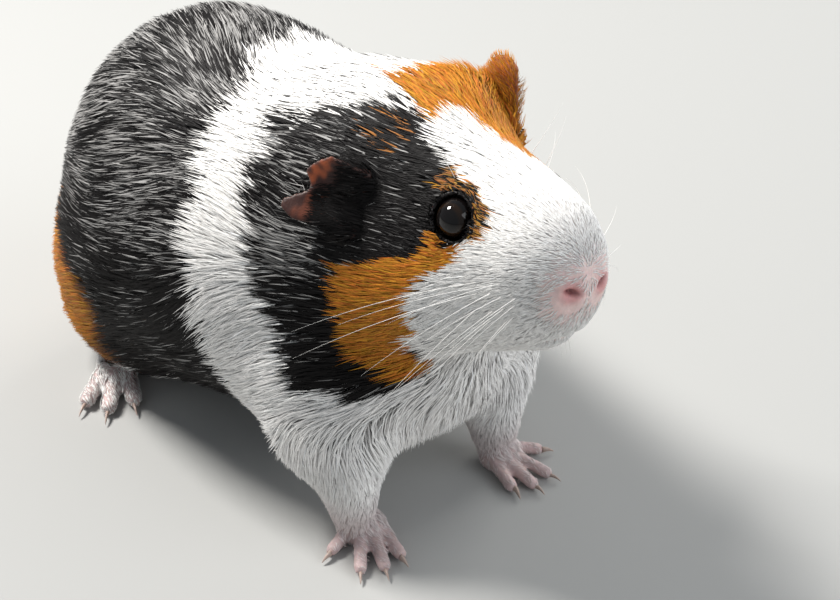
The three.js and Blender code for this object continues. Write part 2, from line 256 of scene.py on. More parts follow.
# The lie of the coat at p with outward normal n: backwards from the nose, down the legs.
def lieOfCoat(p, n):
    h = inHead(p)
    headWay = unit(p - (headMiddle + headTurn @ np.array(coat["nose"])))
    bodyWay = np.tile([-1.0, 0, -0.32], (len(p), 1))
    bodyWay[:, 2] -= 0.5 * smooth(-50, -90, p[:, 0])
    isHead = (smooth(-34, -22, h[:, 2]) * smooth(-14, 8, h[:, 0]))[:, None]
    way = headWay * isHead + bodyWay * (1 - isHead)
    isLeg = (smooth(22, 34, p[:, 0]) * smooth(46, 30, p[:, 2]))[:, None]
    way = way * (1 - isLeg) + np.array([-0.15, 0, -1.0]) * isLeg
    onFoot = (smooth(9, 5, p[:, 2]) * smooth(0.1, 0.5, n[:, 2]))[:, None]
    way = way * (1 - onFoot) + np.array([1.0, 0, -0.4]) * onFoot
    way = way + 0.28 * wander(p, 22, 21)[:, None] * np.cross(n, way)
    for side, _ in sides:  # the hair parts round the eyes
        away = unit(p - eyeMiddle[side])
        close = smooth(5, 1, eyeDistance(p, side) - eyeRadius)
        toward = np.minimum(np.sum(way * away, axis=1), 0) * close * 1.2
        way = way - away * toward[:, None]
    way = way - n * np.sum(way * n, axis=1, keepdims=True)
    return unit(way)


def placed(name, data):
    piece = bpy.data.objects.new(name, data)
    bpy.context.scene.collection.objects.link(piece)
    return piece


def shadeSmooth(mesh):
    mesh.polygons.foreach_set("use_smooth", [True] * len(mesh.polygons))


def objectOf(name, verts, faces):
    mesh = bpy.data.meshes.new(name)
    mesh.from_pydata([tuple(v) for v in verts], [], faces)
    mesh.update()
    shadeSmooth(mesh)
    return placed(name, mesh)


def vertsOf(piece):
    co = np.zeros(len(piece.data.vertices) * 3, np.float32)
    piece.data.vertices.foreach_get("co", co)
    return co.reshape(-1, 3).astype(float) / mm


def setVerts(piece, p):
    piece.data.vertices.foreach_set("co", (p * mm).astype(np.float32).ravel())
    piece.data.update()


def normalsOf(piece):
    n = np.zeros(len(piece.data.vertices) * 3, np.float32)
    piece.data.vertex_normals.foreach_get("vector", n)
    return n.reshape(-1, 3).astype(float)


# Lets modify add modifiers to the piece and makes them real.
def baked(piece, modify):
    modify(piece)
    bpy.context.view_layer.update()
    done = bpy.data.meshes.new_from_object(piece.evaluated_get(bpy.context.evaluated_depsgraph_get()))
    old = piece.data
    piece.modifiers.clear()
    piece.data = done
    bpy.data.meshes.remove(old)
    shadeSmooth(done)


def triangles(piece):
    mesh = piece.data
    mesh.calc_loop_triangles()
    tri = np.zeros(len(mesh.loop_triangles) * 3, np.int32)
    mesh.loop_triangles.foreach_get("vertices", tri)
    return tri.reshape(-1, 3)


# One mesh of copies of the named nodes, each with its doubles merged.
def mergedCopy(title, names):
    bm = bmesh.new()
    for name in names:
        part = bmesh.new()
        part.from_mesh(nodes[name].data)
        bmesh.ops.remove_doubles(part, verts=part.verts, dist=1e-5)
        loose = bpy.data.meshes.new("loose")
        part.to_mesh(loose)
        bm.from_mesh(loose)
        part.free()
        bpy.data.meshes.remove(loose)
    mesh = bpy.data.meshes.new("merged")
    bm.to_mesh(mesh)
    bm.free()
    return placed(title, mesh)


def treeOf(names):
    verts = []
    faces = []
    for name in names:
        base = len(verts)
        verts += [tuple(v.co / mm) for v in nodes[name].data.vertices]
        faces += [tuple(base + i for i in f.vertices) for f in nodes[name].data.polygons]
    return BVHTree.FromPolygons(verts, faces)


# Distance from each point to a tree of nodes, looked at only where near is true.
def distanceTo(tree, p, near):
    far = 9.0
    out = np.full(len(p), far)
    for i in np.nonzero(near)[0]:
        hit = tree.find_nearest(p[i], far)
        if hit[3] is not None:
            out[i] = hit[3]
    return out


fleshNodes = [n for n in nodes if not n.startswith(("claw", "eye"))]
footNodes = [n for n in nodes if "foot" in n]
skinPlan = {
    "bridge": 0.22,  # swelling that closes the gaps between the solids, mm
    "voxel": 0.62,  # mm
    "footTop": 13,  # the feet are below this height
    "relaxing": 26,  # rounds of smoothing where the skin is coarse
    "evening": 3,  # and then all over
    "inset": 0.1,  # deeper than the coat's own depth
    "floor": 0.02,  # no skin goes lower
    "lid": 0.55,  # how far the lids stand out
    "lidGap": 0.25,  # between the lids and the eyeball
    "nostril": (50.4, 4.5, -3.2),  # the left one, in the head's frame
    "triangles": 150000,
}


# Which points are within 2 mm of an ear's box.
def nearEar(p, side):
    return (np.abs(p - boxMiddle("ear_" + side)) < boxSize("ear_" + side) / 2 + 2).all(axis=1)


def makeSkin():
    skin = mergedCopy("skin", fleshNodes)
    setVerts(skin, vertsOf(skin) + normalsOf(skin) * skinPlan["bridge"])

    def remesh(piece):
        piece.modifiers.new("voxels", "REMESH").mode = "VOXEL"
        piece.modifiers["voxels"].voxel_size = skinPlan["voxel"] * mm

    baked(skin, remesh)
    p = vertsOf(skin)
    foot = smooth(1.6, 0.7, distanceTo(treeOf(footNodes), p, p[:, 2] < skinPlan["footTop"]))
    ear = np.zeros(len(p))
    for side, _ in sides:
        ear = np.maximum(ear, smooth(1.8, 0.8, distanceTo(treeOf(["ear_" + side]), p, nearEar(p, side))))
    fine = np.maximum(foot, ear)
    group = skin.vertex_groups.new(name="coarse")
    for level in range(5):
        chosen = np.nonzero(np.round((1 - fine * 0.85) * 4) == level)[0]
        group.add(chosen.tolist(), level / 4, "REPLACE")

    def relax(piece):
        mod = piece.modifiers.new("relax", "SMOOTH")
        mod.factor = 0.5
        mod.iterations = skinPlan["relaxing"]
        mod.vertex_group = "coarse"
        even = piece.modifiers.new("even", "SMOOTH")
        even.factor = 0.5
        even.iterations = skinPlan["evening"]

    baked(skin, relax)
    p = vertsOf(skin)
    n = normalsOf(skin)
    depth = depthAt(p) * (1 - foot) * (1 - ear) + skinPlan["inset"]
    p = sculpted(p - n * depth[:, None], n)
    p[:, 2] = np.maximum(p[:, 2], skinPlan["floor"])
    setVerts(skin, p)
    print("skin before thinning:", len(skin.data.polygons), "faces")

    keep = skin.vertex_groups.new(name="keep")
    h = inHead(p)
    face = smooth(12, 20, h[:, 0]) * smooth(-30, -24, h[:, 2])
    weight = np.maximum.reduce([fine, face * 0.8])
    for level in range(1, 5):
        keep.add(np.nonzero(np.round(weight * 4) == level)[0].tolist(), level / 4, "REPLACE")

    def thin(piece):
        piece.modifiers.new("triangles", "TRIANGULATE")
        mod = piece.modifiers.new("thin", "DECIMATE")
        mod.ratio = skinPlan["triangles"] / (2 * len(piece.data.polygons))
        mod.vertex_group = "keep"
        mod.invert_vertex_group = True
        mod.vertex_group_factor = 1.0

    baked(skin, thin)
    skin.vertex_groups.clear()
    return skin


# Lids, nostrils, mouth and the folds round them, pushed along the normals n.
def sculpted(p, n):
    h = inHead(p)
    for side, sign in sides:
        eye = eyeMiddle[side]
        away = p - eye
        distance = eyeDistance(p, side)
        height = away @ gaze(sign)
        ring = np.exp(-((distance - eyeRadius - 0.9) / 0.6) ** 2) * (height > 0)
        p = p + n * (ring * skinPlan["lid"])[:, None]
        socket = eyeRadius + skinPlan["lidGap"]
        inside = (distance < socket) & (height > -1)
        p[inside] = eye + unit(away[inside]) * socket
        off = fromNostril(h, sign)
        around = np.sqrt((off[:, 1] / 1.5) ** 2 + off[:, 2] ** 2 + (off[:, 0] / 1.8) ** 2)
        rim = np.exp(-((around - 1.9) / 0.7) ** 2)
        p = p - n * (nostrilSlit(off, sign, 0.65) * 1.9)[:, None] + n * (rim * 0.35)[:, None]
    cleft = np.exp(-(h[:, 1] / 0.7) ** 2) * smooth(44, 48, h[:, 0])
    cleft = cleft * smooth(-5, -8, h[:, 2]) * smooth(-19, -15, h[:, 2])
    lips = lipLine(h, 0.8) * smooth(38, 43, h[:, 0]) * smooth(8, 5, np.abs(h[:, 1]))
    return p - n * (cleft * 0.8 + lips * 1.1)[:, None]


def newMaterial(name, **sockets):
    material = bpy.data.materials.new(name)
    material.use_nodes = True
    shader = material.node_tree.nodes["Principled BSDF"]
    for key, value in sockets.items():
        shader.inputs[key.replace("_", " ")].default_value = value
    return material, material.node_tree, shader


def link(tree, a, aOut, b, bIn):
    tree.links.new(a.outputs[aOut], b.inputs[bIn])


# The piece's own colours times a noise that runs from low to high, on Object coordinates.
def paintMottled(tree, shader, scale, detail, low, high):
    colour = tree.nodes.new("ShaderNodeAttribute")
    colour.attribute_name = "coatColour"
    place = tree.nodes.new("ShaderNodeTexCoord")
    noise = tree.nodes.new("ShaderNodeTexNoise")
    noise.inputs["Scale"].default_value = scale
    noise.inputs["Detail"].default_value = detail
    link(tree, place, "Object", noise, "Vector")
    span = tree.nodes.new("ShaderNodeMapRange")
    span.inputs["To Min"].default_value = low
    span.inputs["To Max"].default_value = high
    link(tree, noise, "Fac", span, "Value")
    mix = tree.nodes.new("ShaderNodeMix")
    mix.data_type = "RGBA"
    mix.blend_type = "MULTIPLY"
    mix.inputs[0].default_value = 1
    link(tree, colour, "Color", mix, 6)
    link(tree, span, "Result", mix, 7)
    link(tree, mix, 2, shader, "Base Color")
    return place, noise


# A noise between two colours, on Object coordinates.
def paintGrain(tree, shader, scale, dark, light):
    place = tree.nodes.new("ShaderNodeTexCoord")
    grain = tree.nodes.new("ShaderNodeTexNoise")
    grain.inputs["Scale"].default_value = scale
    link(tree, place, "Object", grain, "Vector")
    ramp = tree.nodes.new("ShaderNodeValToRGB")
    ramp.color_ramp.elements[0].color = dark
    ramp.color_ramp.elements[1].color = light
    link(tree, grain, "Fac", ramp, "Fac")
    link(tree, ramp, "Color", shader, "Base Color")
    return grain


def addBump(tree, shader, source, output, strength, distance):
    bump = tree.nodes.new("ShaderNodeBump")
    bump.inputs["Strength"].default_value = strength
    bump.inputs["Distance"].default_value = distance
    link(tree, source, output, bump, "Height")
    link(tree, bump, "Normal", shader, "Normal")


def skinMaterial():
    material, tree, shader = newMaterial("bareSkin", Roughness=0.5, Subsurface_Weight=0.12,
                                         Specular_IOR_Level=0.35)
    shader.inputs["Subsurface Radius"].default_value = (0.002, 0.0008, 0.0004)
    place, _ = paintMottled(tree, shader, 700, 4, 0.72, 1.2)
    creases = tree.nodes.new("ShaderNodeTexVoronoi")
    creases.feature = "DISTANCE_TO_EDGE"
    creases.inputs["Scale"].default_value = 1100
    link(tree, place, "Object", creases, "Vector")
    addBump(tree, shader, creases, "Distance", 0.35, 0.0002)
    return material


def hairMaterial():
    material, tree, shader = newMaterial("hair", Roughness=0.5, Specular_IOR_Level=0.1)
    _, streak = paintMottled(tree, shader, 900, 2, 0.8, 1.15)
    addBump(tree, shader, streak, "Fac", 0.3, 0.0002)
    return material


def setColours(piece, colours):
    layer = piece.data.attributes.new("coatColour", "FLOAT_COLOR", "POINT")
    rgba = np.ones((len(colours), 4), np.float32)
    rgba[:, :3] = colours
    layer.data.foreach_set("color", rgba.ravel())


bareColours = {
    "pink": (0.78, 0.50, 0.45),
    "nose": (0.82, 0.60, 0.57),
    "rose": (0.66, 0.33, 0.32),  # round the nostrils
    # painted shade inside the nostrils' openings
    "nostril": (0.12, 0.012, 0.016),
    "lid": (0.022, 0.018, 0.018),
    "foot": (0.56, 0.42, 0.41),
    "wrist": (0.68, 0.58, 0.57),  # the short hair over the wrists
    "earDark": (0.05, 0.018, 0.014),
    # the right ear's reddish skin with a painted glow of light shining through it
    "earInsideGlow": (0.42, 0.10, 0.035),
    "earGinger": (0.34, 0.12, 0.06),
    # painted highlight along the ears' rims, where light shines through the thin edge
    "earRimHighlight": (0.86, 0.64, 0.56),
}


def skinColours(p, n):
    h = inHead(p)
    colour = coatColour(p)
    rosy = (colour[:, 2] > 0.5) * (0.35 + 0.65 * smooth(16, 8, p[:, 2]))  # the skin under the white
    isGinger = (colour[:, 0] > 0.3) & (colour[:, 2] < 0.3)
    colour = mixColour(colour, bareColours["pink"], rosy * 0.4)
    colour = colour * (1 - 0.35 * isGinger)[:, None]
    colour = mixColour(colour, bareColours["foot"], smooth(12, 7, p[:, 2]))
    colour = mixColour(colour, bareColours["nose"], nearNostrils(h, 11, 4) * 0.9)
    for side, sign in sides:
        off = fromNostril(h, sign)
        colour = mixColour(colour, bareColours["rose"], smooth(4.2, 1.2, np.linalg.norm(off, axis=1)))
        # painted shade: the nostril slits darkened
        colour = mixColour(colour, bareColours["nostril"], nostrilSlit(off, sign, 0.6) * 1.7)
        lid = smooth(eyeRadius + 1.9, eyeRadius + 1.1, eyeDistance(p, side))
        colour = mixColour(colour, bareColours["lid"], lid)
    colour = mixColour(colour, bareColours["nose"], lipLine(h, 1.2) * smooth(40, 44, h[:, 0]) * 0.8)
    sure, reach, inner, _ = onEars(p, n)
    # painted light through the ear: a mottled reddish glow on the right ear, most on the upper lobe
    glowThroughEar = smooth(-0.2, 0.9, wander(p, 4, 14) + 0.4 * wander(p, 1.4, 15)) * smooth(0.3, 0.7, reach)
    right = p[:, 1] < 0
    ear = np.where(right[:, None], bareColours["earDark"], bareColours["earGinger"])
    ear = mixColour(ear, bareColours["earInsideGlow"], glowThroughEar * right * (0.25 + 0.75 * smooth(8, 12, h[:, 2])))
    # painted highlight along the rims of both ears
    rim = (1 - np.abs(2 * inner - 1)) * smooth(0.35, 0.6, reach)
    ear = mixColour(ear, bareColours["earRimHighlight"], rim * np.where(right, 0.9, 0.4))
    return colour + (ear - colour) * sure[:, None]


tuft = {
    "count": 142000,
    "perPiece": 190000,  # most triangles in one piece of coat
    "trianglesEach": 10,
    "patch": 0.003,  # size of a tuft's patch on the unwrap
    "clump": 8,  # tufts to a lock
    "pull": 0.42,  # how far the tips of a lock lean together
    "farthest": 4,  # tips farther apart than this don't, mm
    # along the head: the place x in its own frame, a tuft's length and width, and tufts to the square mm
    "head": {"at": [-15, 0, 15, 30, 40, 46, 50], "length": [12.5, 10, 8.0, 6, 4.4, 3.2, 2.2],
             "width": [0.44, 0.4, 0.34, 0.28, 0.23, 0.2, 0.17],
             "density": [1.2, 1.6, 2.2, 3.0, 4.2, 4.8, 5.2]},
    "body": {"length": 13, "width": 0.48, "density": 1.05},
    # the same up a foreleg, by height, and on the hind feet
    "leg": {"length": ([0, 8, 16, 30, 42], [1.8, 2.8, 4.5, 8.5, 12]),
            "width": ([0, 10, 30], [0.15, 0.22, 0.42]),
            "density": ([0, 7, 12, 30], [1.5, 2.2, 2.6, 1.6])},
    "hind": {"length": 2.8, "width": 0.18},
    "sunk": 0.25,  # how deep the roots sit, mm
    "raised": 0.1,  # all the coat, mm
    "onEars": 0.45,  # how deep the coat is there, mm
    "stray": 0.1,  # how far hairs stray from the lie of the coat
    "nape": (-2, 18, 25),  # where the hair stands up behind the left ear, in the head's frame
    "napeSpread": 6.5,  # mm
    "standing": 6,  # and how much higher, mm
    "floor": 0.05,  # no hair goes lower, mm
    "soft": 0.6,  # how far a tuft is shaded as the body under it
}


# How thick the coat stands (tufts to the square millimetre, before scaling), each tuft's length and
# width, and how surely it is on the head.
def tuftPlan(p, n, ears):
    h = inHead(p)
    isHead = smooth(-34, -24, h[:, 2]) * smooth(-18, -4, h[:, 0])
    isLeg = smooth(22, 32, p[:, 0]) * smooth(42, 26, p[:, 2]) * (1 - isHead)

    def mixed(what):
        onHead = np.interp(h[:, 0], tuft["head"]["at"], tuft["head"][what])
        value = tuft["body"][what] * (1 - isHead) + onHead * isHead
        return value * (1 - isLeg) + np.interp(p[:, 2], *tuft["leg"][what]) * isLeg

    length, width, density = mixed("length"), mixed("width"), mixed("density")
    rear = smooth(15, 6, p[:, 2]) * (p[:, 0] < 10)
    length = length * (1 - rear) + tuft["hind"]["length"] * rear
    width = width * (1 - rear) + tuft["hind"]["width"] * rear
    density = density * (1 + rear)
    under = smooth(-0.2, -0.8, n[:, 2]) * (1 - isHead) * (1 - isLeg)
    density = density * (1 - 0.4 * under)
    for side, _ in sides:
        length = length * (0.25 + 0.75 * smooth(1, 8, eyeDistance(p, side) - eyeRadius))
    sure, reach, inner, _ = ears
    upperLobe = smooth(9, 13, h[:, 2]) * (p[:, 1] < 0)
    cover = smooth(0.4, 0.2, reach) * upperLobe + smooth(0.9, 0.6, reach) * (1 - upperLobe)
    hairy = np.where(inner > 0.5, 3.6 * cover, 2.6)
    density = density * (1 - sure) + hairy * sure
    onRight = np.interp(reach, [0, 0.4, 0.8], [6, 4.5, 1.6]) * (1 - 0.5 * upperLobe)
    onEar = np.where(p[:, 1] < 0, onRight, np.interp(reach, [0, 0.4, 0.8], [2, 2.6, 1.8]))
    length = length * (1 - sure) + onEar * sure
    width = width * (1 - sure) + 0.17 * sure
    return density, length, width, isHead


# 1 within low of a nostril, 0 beyond high, in mm.
def nearNostrils(h, high, low):
    off = (np.abs(h * [0, 1, 0]) + h * [1, 0, 1]) - np.array(skinPlan["nostril"]) - [0, 0, -1.2]
    return smooth(high, low, np.linalg.norm(off * [1, 0.8, 0.8], axis=1))


# Where no hair grows: nose, lips, lids, soles and, mostly, toes.
def bare(p):
    h = inHead(p)
    bareness = nearNostrils(h, 3.4, 2.2) + 0.72 * nearNostrils(h, 9, 5)
    for side, _ in sides:
        bareness = np.maximum(bareness, smooth(1.3, 0.8, eyeDistance(p, side) - eyeRadius))
    lips = lipLine(h, 0.8) * smooth(42, 45, h[:, 0])
    sole = smooth(1.4, 0.9, p[:, 2])
    toes = smooth(7, 3.5, p[:, 2]) * np.where(p[:, 0] < 0, 0.35, 0.65)
    return np.clip(np.maximum.reduce([bareness, lips, sole, toes]), 0, 1)


# For each point: how surely it is on an ear, how far out towards the rim, how much on the inner face, and
# the way to the rim.
def onEars(p, n):
    sure = np.zeros(len(p))
    reach = np.zeros(len(p))
    inner = np.zeros(len(p))
    way = np.zeros((len(p), 3))
    for side, sign in sides:
        q = vertsOf(nodes["ear_" + side])
        away = np.linalg.norm(q - headMiddle, axis=1)
        order = np.argsort(away)
        rim = q[order[-len(q) // 4:]].mean(axis=0)
        root = q[order[:len(q) // 4]].mean(axis=0)
        here = smooth(1.8, 0.9, distanceTo(treeOf(["ear_" + side]), p, nearEar(p, side)))
        sheet = np.linalg.svd(q - q.mean(axis=0), full_matrices=False)[2][2]
        sheet = sheet * np.sign(sheet[1]) * sign
        outward = unit(rim - root)
        chosen = here > sure
        reach[chosen] = ((p - root) @ outward / np.linalg.norm(rim - root))[chosen]
        inner[chosen] = smooth(-0.3, 0.3, n @ sheet)[chosen]
        way[chosen] = outward
        sure = np.maximum(sure, here)
    return sure, reach, inner, way


def scatterRoots(skin):
    mesh = skin.data
    tri = triangles(skin)
    p = vertsOf(skin)
    corner = p[tri]
    cross = np.cross(corner[:, 1] - corner[:, 0], corner[:, 2] - corner[:, 0])
    area = np.linalg.norm(cross, axis=1) / 2
    middle = corner.mean(axis=1)
    faceNormal = unit(cross)
    density = tuftPlan(middle, faceNormal, onEars(middle, faceNormal))[0]
    expected = area * density * (1 - bare(middle))
    total = int(tuft["count"] * (1))
    print("coat:", total, "tufts, scaled by", round(total / expected.sum(), 2))
    level = np.cumsum(expected)
    pick = np.searchsorted(level, (np.arange(total) + random.random(total)) * level[-1] / total)
    pick = np.clip(pick, 0, len(tri) - 1)
    a, b = random.random((2, total))
    flip = a + b > 1
    a[flip], b[flip] = 1 - a[flip], 1 - b[flip]
    weights = np.stack([1 - a - b, a, b], axis=1)[:, :, None]
    root = (corner[pick] * weights).sum(axis=1)
    normal = unit((normalsOf(skin)[tri[pick]] * weights).sum(axis=1))
    loopUv = np.zeros(len(mesh.loops) * 2, np.float32)
    mesh.uv_layers["OFBake"].data.foreach_get("uv", loopUv)
    loopOf = np.zeros(len(tri) * 3, np.int32)
    mesh.loop_triangles.foreach_get("loops", loopOf)
    rootUv = (loopUv.reshape(-1, 2)[loopOf.reshape(-1, 3)][pick] * weights).sum(axis=1)
    return root, normal, rootUv


def makeCoat(skin):
    root, normal, rootUv = scatterRoots(skin)
    total = len(root)
    ears = onEars(root, normal)
    _, length, width, isHead = tuftPlan(root, normal, ears)
    sure = ears[0]
    length = length * random.uniform(0.7, 1.12, total)
    width = width * random.uniform(0.65, 1.25, total) * 1
    depth = depthAt(root) * random.uniform(0.75, 1.08, total)
    nape = np.exp(-(np.linalg.norm(inHead(root) - tuft["nape"], axis=1) / tuft["napeSpread"]) ** 2)
    depth = depth * (1 - sure) + tuft["onEars"] * sure + tuft["raised"] + tuft["standing"] * nape
    stray = random.normal(size=(total, 3)) * tuft["stray"]

    def layAlong(q, n):
        way = lieOfCoat(q, n) * (1 - sure[:, None]) + ears[3] * sure[:, None] + stray
        return unit(way - n * np.sum(way * n, axis=1, keepdims=True))

    tree = BVHTree.FromObject(skin, bpy.context.evaluated_depsgraph_get())
    rings = [root - normal * tuft["sunk"]]
    lifts = [normal]
    at = root
    here = normal
    for rise in (0.74, 1.0):
        ahead = at + layAlong(at, here) * (length / 2)[:, None]
        found = [tree.find_nearest(q * mm) for q in ahead]
        landed = np.array([f[0] for f in found]) / mm
        facing = unit(np.array([f[1] for f in found]) + here * 0.5)
        free = (sure > 0.5)[:, None]  # hairs on the ears run straight on past the rim
        at = np.where(free, ahead, landed)
        here = np.where(free, here, facing)
        rings.append(at + here * (depth * rise)[:, None])
        lifts.append(here)
    rings = np.stack(rings, axis=1)
    lifts = np.stack(lifts, axis=1)
    print("coat combed")

    # the tips of a lock lean together
    centres = random.choice(total, max(total // tuft["clump"], 1), replace=False)
    near = KDTree(len(centres))
    for i, c in enumerate(centres):
        near.insert(root[c], i)
    near.balance()
    lock = centres[np.array([near.find(r)[1] for r in root])]
    shift = rings[lock] - rings
    tooFar = np.linalg.norm(shift[:, 2], axis=1) > tuft["farthest"]
    shift[tooFar | (sure > 0.3) | (sure[lock] > 0.3)] = 0
    pull = tuft["pull"] * (1 + 0.4 * wander(root, 15, 31))
    rings = rings + shift * np.array([0, 0.35, 1])[None, :, None] * pull[:, None, None]

    # the borders on the back are mixed most
    mixed = 0.7 + 1.9 * smooth(92, 104, root[:, 2]) * smooth(36, 24, root[:, 0])
    colour = tuftColours(rings[:, 1] * 0.5 + rings[:, 2] * 0.5, random.normal(size=total) * mixed)
    region = regionOf(root, isHead)
    pieces = []
    for index, name in enumerate(regionNames):
        chosen = np.nonzero(region == index)[0]
        parts = math.ceil(len(chosen) * tuft["trianglesEach"] / tuft["perPiece"])
        order = chosen[np.argsort(root[chosen, 0])]
        for k, share in enumerate(np.array_split(order, parts)):
            title = "coat_" + name + ("_" + "abcdefgh"[k] if parts > 1 else "")
            ofShare = [values[share] for values in (rings, lifts, width, colour, rootUv)]
            pieces.append(tuftPiece(title, *ofShare))
    return pieces


regionNames = ["rump", "barrel", "shoulders", "face", "legs"]


# Which of the regions a tuft belongs to, by the place of its root.
def regionOf(p, isHead):
    region = np.where(p[:, 0] < -45, 0, np.where(p[:, 0] < -5, 1, 2))
    region = np.where(isHead > 0.5, 3, region)
    low = ((p[:, 0] > 20) & (p[:, 2] < 26) & (isHead < 0.5)) | (p[:, 2] < 7)
    return np.where(low, 4, region)


# The coat's colour hair by hair: mottled ginger, painted golden glints, silver among the black that is partly
# painted highlights on top, and greyer wrists.
def tuftColours(p, fray):
    base = coatColour(p, fray)
    black = base[:, 0] < 0.03
    ginger = (base[:, 0] > 0.1) & (base[:, 2] < 0.3)
    _, gingerIn, mottled, _ = patches(p)
    chance = random.random(len(p))
    mottledGinger = (mottled > 0) & (gingerIn > 0)
    base[mottledGinger & (chance < 0.5)] = markings["black"]
    base[mottledGinger & (chance >= 0.5)] = markings["golden"]
    # painted glints: a few golden hairs among the black on top of the head
    base[(mottled > 0) & black & (gingerIn < 0) & (chance < 0.12)] = markings["golden"]
    shade = random.normal(1, 0.04, len(p))
    shade[ginger] = random.normal(1, 0.18, ginger.sum())
    base = base * np.clip(shade, 0.55, 1.5)[:, None]
    base[ginger, 1] *= random.uniform(0.8, 1.45, ginger.sum())  # from fox red to gold
    white = (base[:, 2] > 0.5) & (p[:, 0] > 20)
    base[white] = mixColour(base, bareColours["wrist"], smooth(20, 7, p[:, 2]) * 0.8)[white]
    # silver hairs among the black, many of them painted highlights on the top
    silverGlint = black & (random.random(len(p)) < silverGlintShare(p))
    base[silverGlint] = np.array(markings["silverGlint"]) * random.uniform(0.3, 2.2, (silverGlint.sum(), 1))
    return np.clip(base, 0, 0.95)


# One mesh of closed tapering tufts with a triangular section.
def tuftPiece(name, rings, lifts, width, colour, uv):
    count = len(rings)
    along = unit(np.gradient(rings, axis=1))
    side = unit(np.cross(along, lifts))
    up = unit(np.cross(side, along))
    verts = np.zeros((count, 7, 3))
    for level, taper in enumerate((0.8, 1.0)):
        half = (width * taper / 2)[:, None]
        verts[:, level * 3] = rings[:, level] + side[:, level] * half
        verts[:, level * 3 + 1] = rings[:, level] - side[:, level] * half
        verts[:, level * 3 + 2] = rings[:, level] + up[:, level] * half * 0.7
    verts[:, 6] = rings[:, 2]
    verts[:, :, 2] = np.maximum(verts[:, :, 2], tuft["floor"])
    faces = [(0, 2, 1)]
    for a, b in ((0, 1), (1, 2), (2, 0)):
        faces += [(a, b, b + 3), (a, b + 3, a + 3), (a + 3, b + 3, 6)]
    index = (np.array(faces)[None] + (np.arange(count) * 7)[:, None, None]).reshape(-1, 3)

    mesh = bpy.data.meshes.new(name)
    mesh.vertices.add(count * 7)
    mesh.vertices.foreach_set("co", (verts * mm).astype(np.float32).ravel())
    mesh.loops.add(index.size)
    mesh.loops.foreach_set("vertex_index", index.astype(np.int32).ravel())
    mesh.polygons.add(len(index))
    mesh.polygons.foreach_set("loop_start", np.arange(0, index.size, 3, dtype=np.int32))
    mesh.polygons.foreach_set("loop_total", np.full(len(index), 3, np.int32))
    mesh.update(calc_edges=True)
    shadeSmooth(mesh)
    piece = placed(name, mesh)

    rootShade = np.array([0.8, 0.8, 0.8, 1, 1, 1, 1.1])  # painted shade: darker at the root, where the tufts shade each other; a little lighter at the tip
    setColours(piece, (colour[:, None] * rootShade[None, :, None]).reshape(-1, 3))
    spread = [[-0.5, -0.5], [0, -0.5], [0.5, -0.5], [-0.5, 0], [0, 0], [0.5, 0], [0, 0.5]]
    patch = np.array(spread) * tuft["patch"]
    layer = mesh.uv_layers.new(name="OFBake")
    loopUv = (uv[:, None] + patch[None]).reshape(-1, 2)[index.ravel()]
    layer.data.foreach_set("uv", loopUv.astype(np.float32).ravel())

    # each tuft is shaded partly as the body under it, which keeps the coat soft
    across = np.stack([side * 0.9 - up * 0.3, side * -0.9 - up * 0.3, up], axis=2)[:, :2].reshape(count, 6, 3)
    own = np.concatenate([across, up[:, 2:]], axis=1)
    body = np.concatenate([np.repeat(lifts[:, :2], 3, axis=1), lifts[:, 2:]], axis=1)
    soft = unit(own * (1 - tuft["soft"]) + body * tuft["soft"]).reshape(-1, 3)
    mesh.normals_split_custom_set_from_vertices(soft.tolist())
    return piece


eyePlan = {
    "share": 0.985,  # of the solid's radius
    "cornea": 0.55,  # where the cornea starts, from the eye's middle to its front
    "corneaSpan": 0.45,
    "bulge": 0.35,  # of the cornea, mm
    "segments": 48,
    "rings": 32,
    "pupil": (0.004, 0.003, 0.003),
    "iris": (0.012, 0.006, 0.003),
}


def makeEye(side):
    axis = Vector(gaze(dict(sides)[side]))
    turn = Vector((0, 0, 1)).rotation_difference(axis).to_matrix()
    bm = bmesh.new()
    bmesh.ops.create_uvsphere(bm, u_segments=eyePlan["segments"], v_segments=eyePlan["rings"], radius=1)
    for v in bm.verts:
        cornea = max(v.co.z - eyePlan["cornea"], 0) / eyePlan["corneaSpan"]
        v.co *= eyeRadius * eyePlan["share"] + eyePlan["bulge"] * cornea
    bm.transform(Matrix.Scale(mm, 4) @ Matrix.Translation(Vector(eyeMiddle[side])) @ turn.to_4x4())
    mesh = bpy.data.meshes.new("eyeball_" + side)
    bm.to_mesh(mesh)
    bm.free()
    shadeSmooth(mesh)
    eye = placed("eyeball_" + side, mesh)
    p = vertsOf(eye)
    facing = unit(p - eyeMiddle[side]) @ np.array(axis)
    colour = np.tile(eyePlan["pupil"], (len(p), 1))
    ring = smooth(0.55, 0.64, facing) * smooth(0.84, 0.74, facing)
    setColours(eye, mixColour(colour, eyePlan["iris"], ring))
    return eye


def eyeMaterial():
    material, tree, shader = newMaterial("eyeWet", Roughness=0.04, Specular_IOR_Level=0.35)
    colour = tree.nodes.new("ShaderNodeAttribute")
    colour.attribute_name = "coatColour"
    link(tree, colour, "Color", shader, "Base Color")
    return material


clawPlan = {
    "segments": 9,
    "around": 10,
    "arch": 0.12,  # how far a claw arches upwards, of its length
    "thick": 0.46,  # radius at the base, of the solid's breadth
    "breadthLeast": 1.4,  # mm
    "radiusMost": 1.0,  # mm
    "floor": 0.03,  # no horn goes lower, mm
    "dark": (0.27, 0.19, 0.16, 1),
    "light": (0.56, 0.44, 0.38, 1),
}


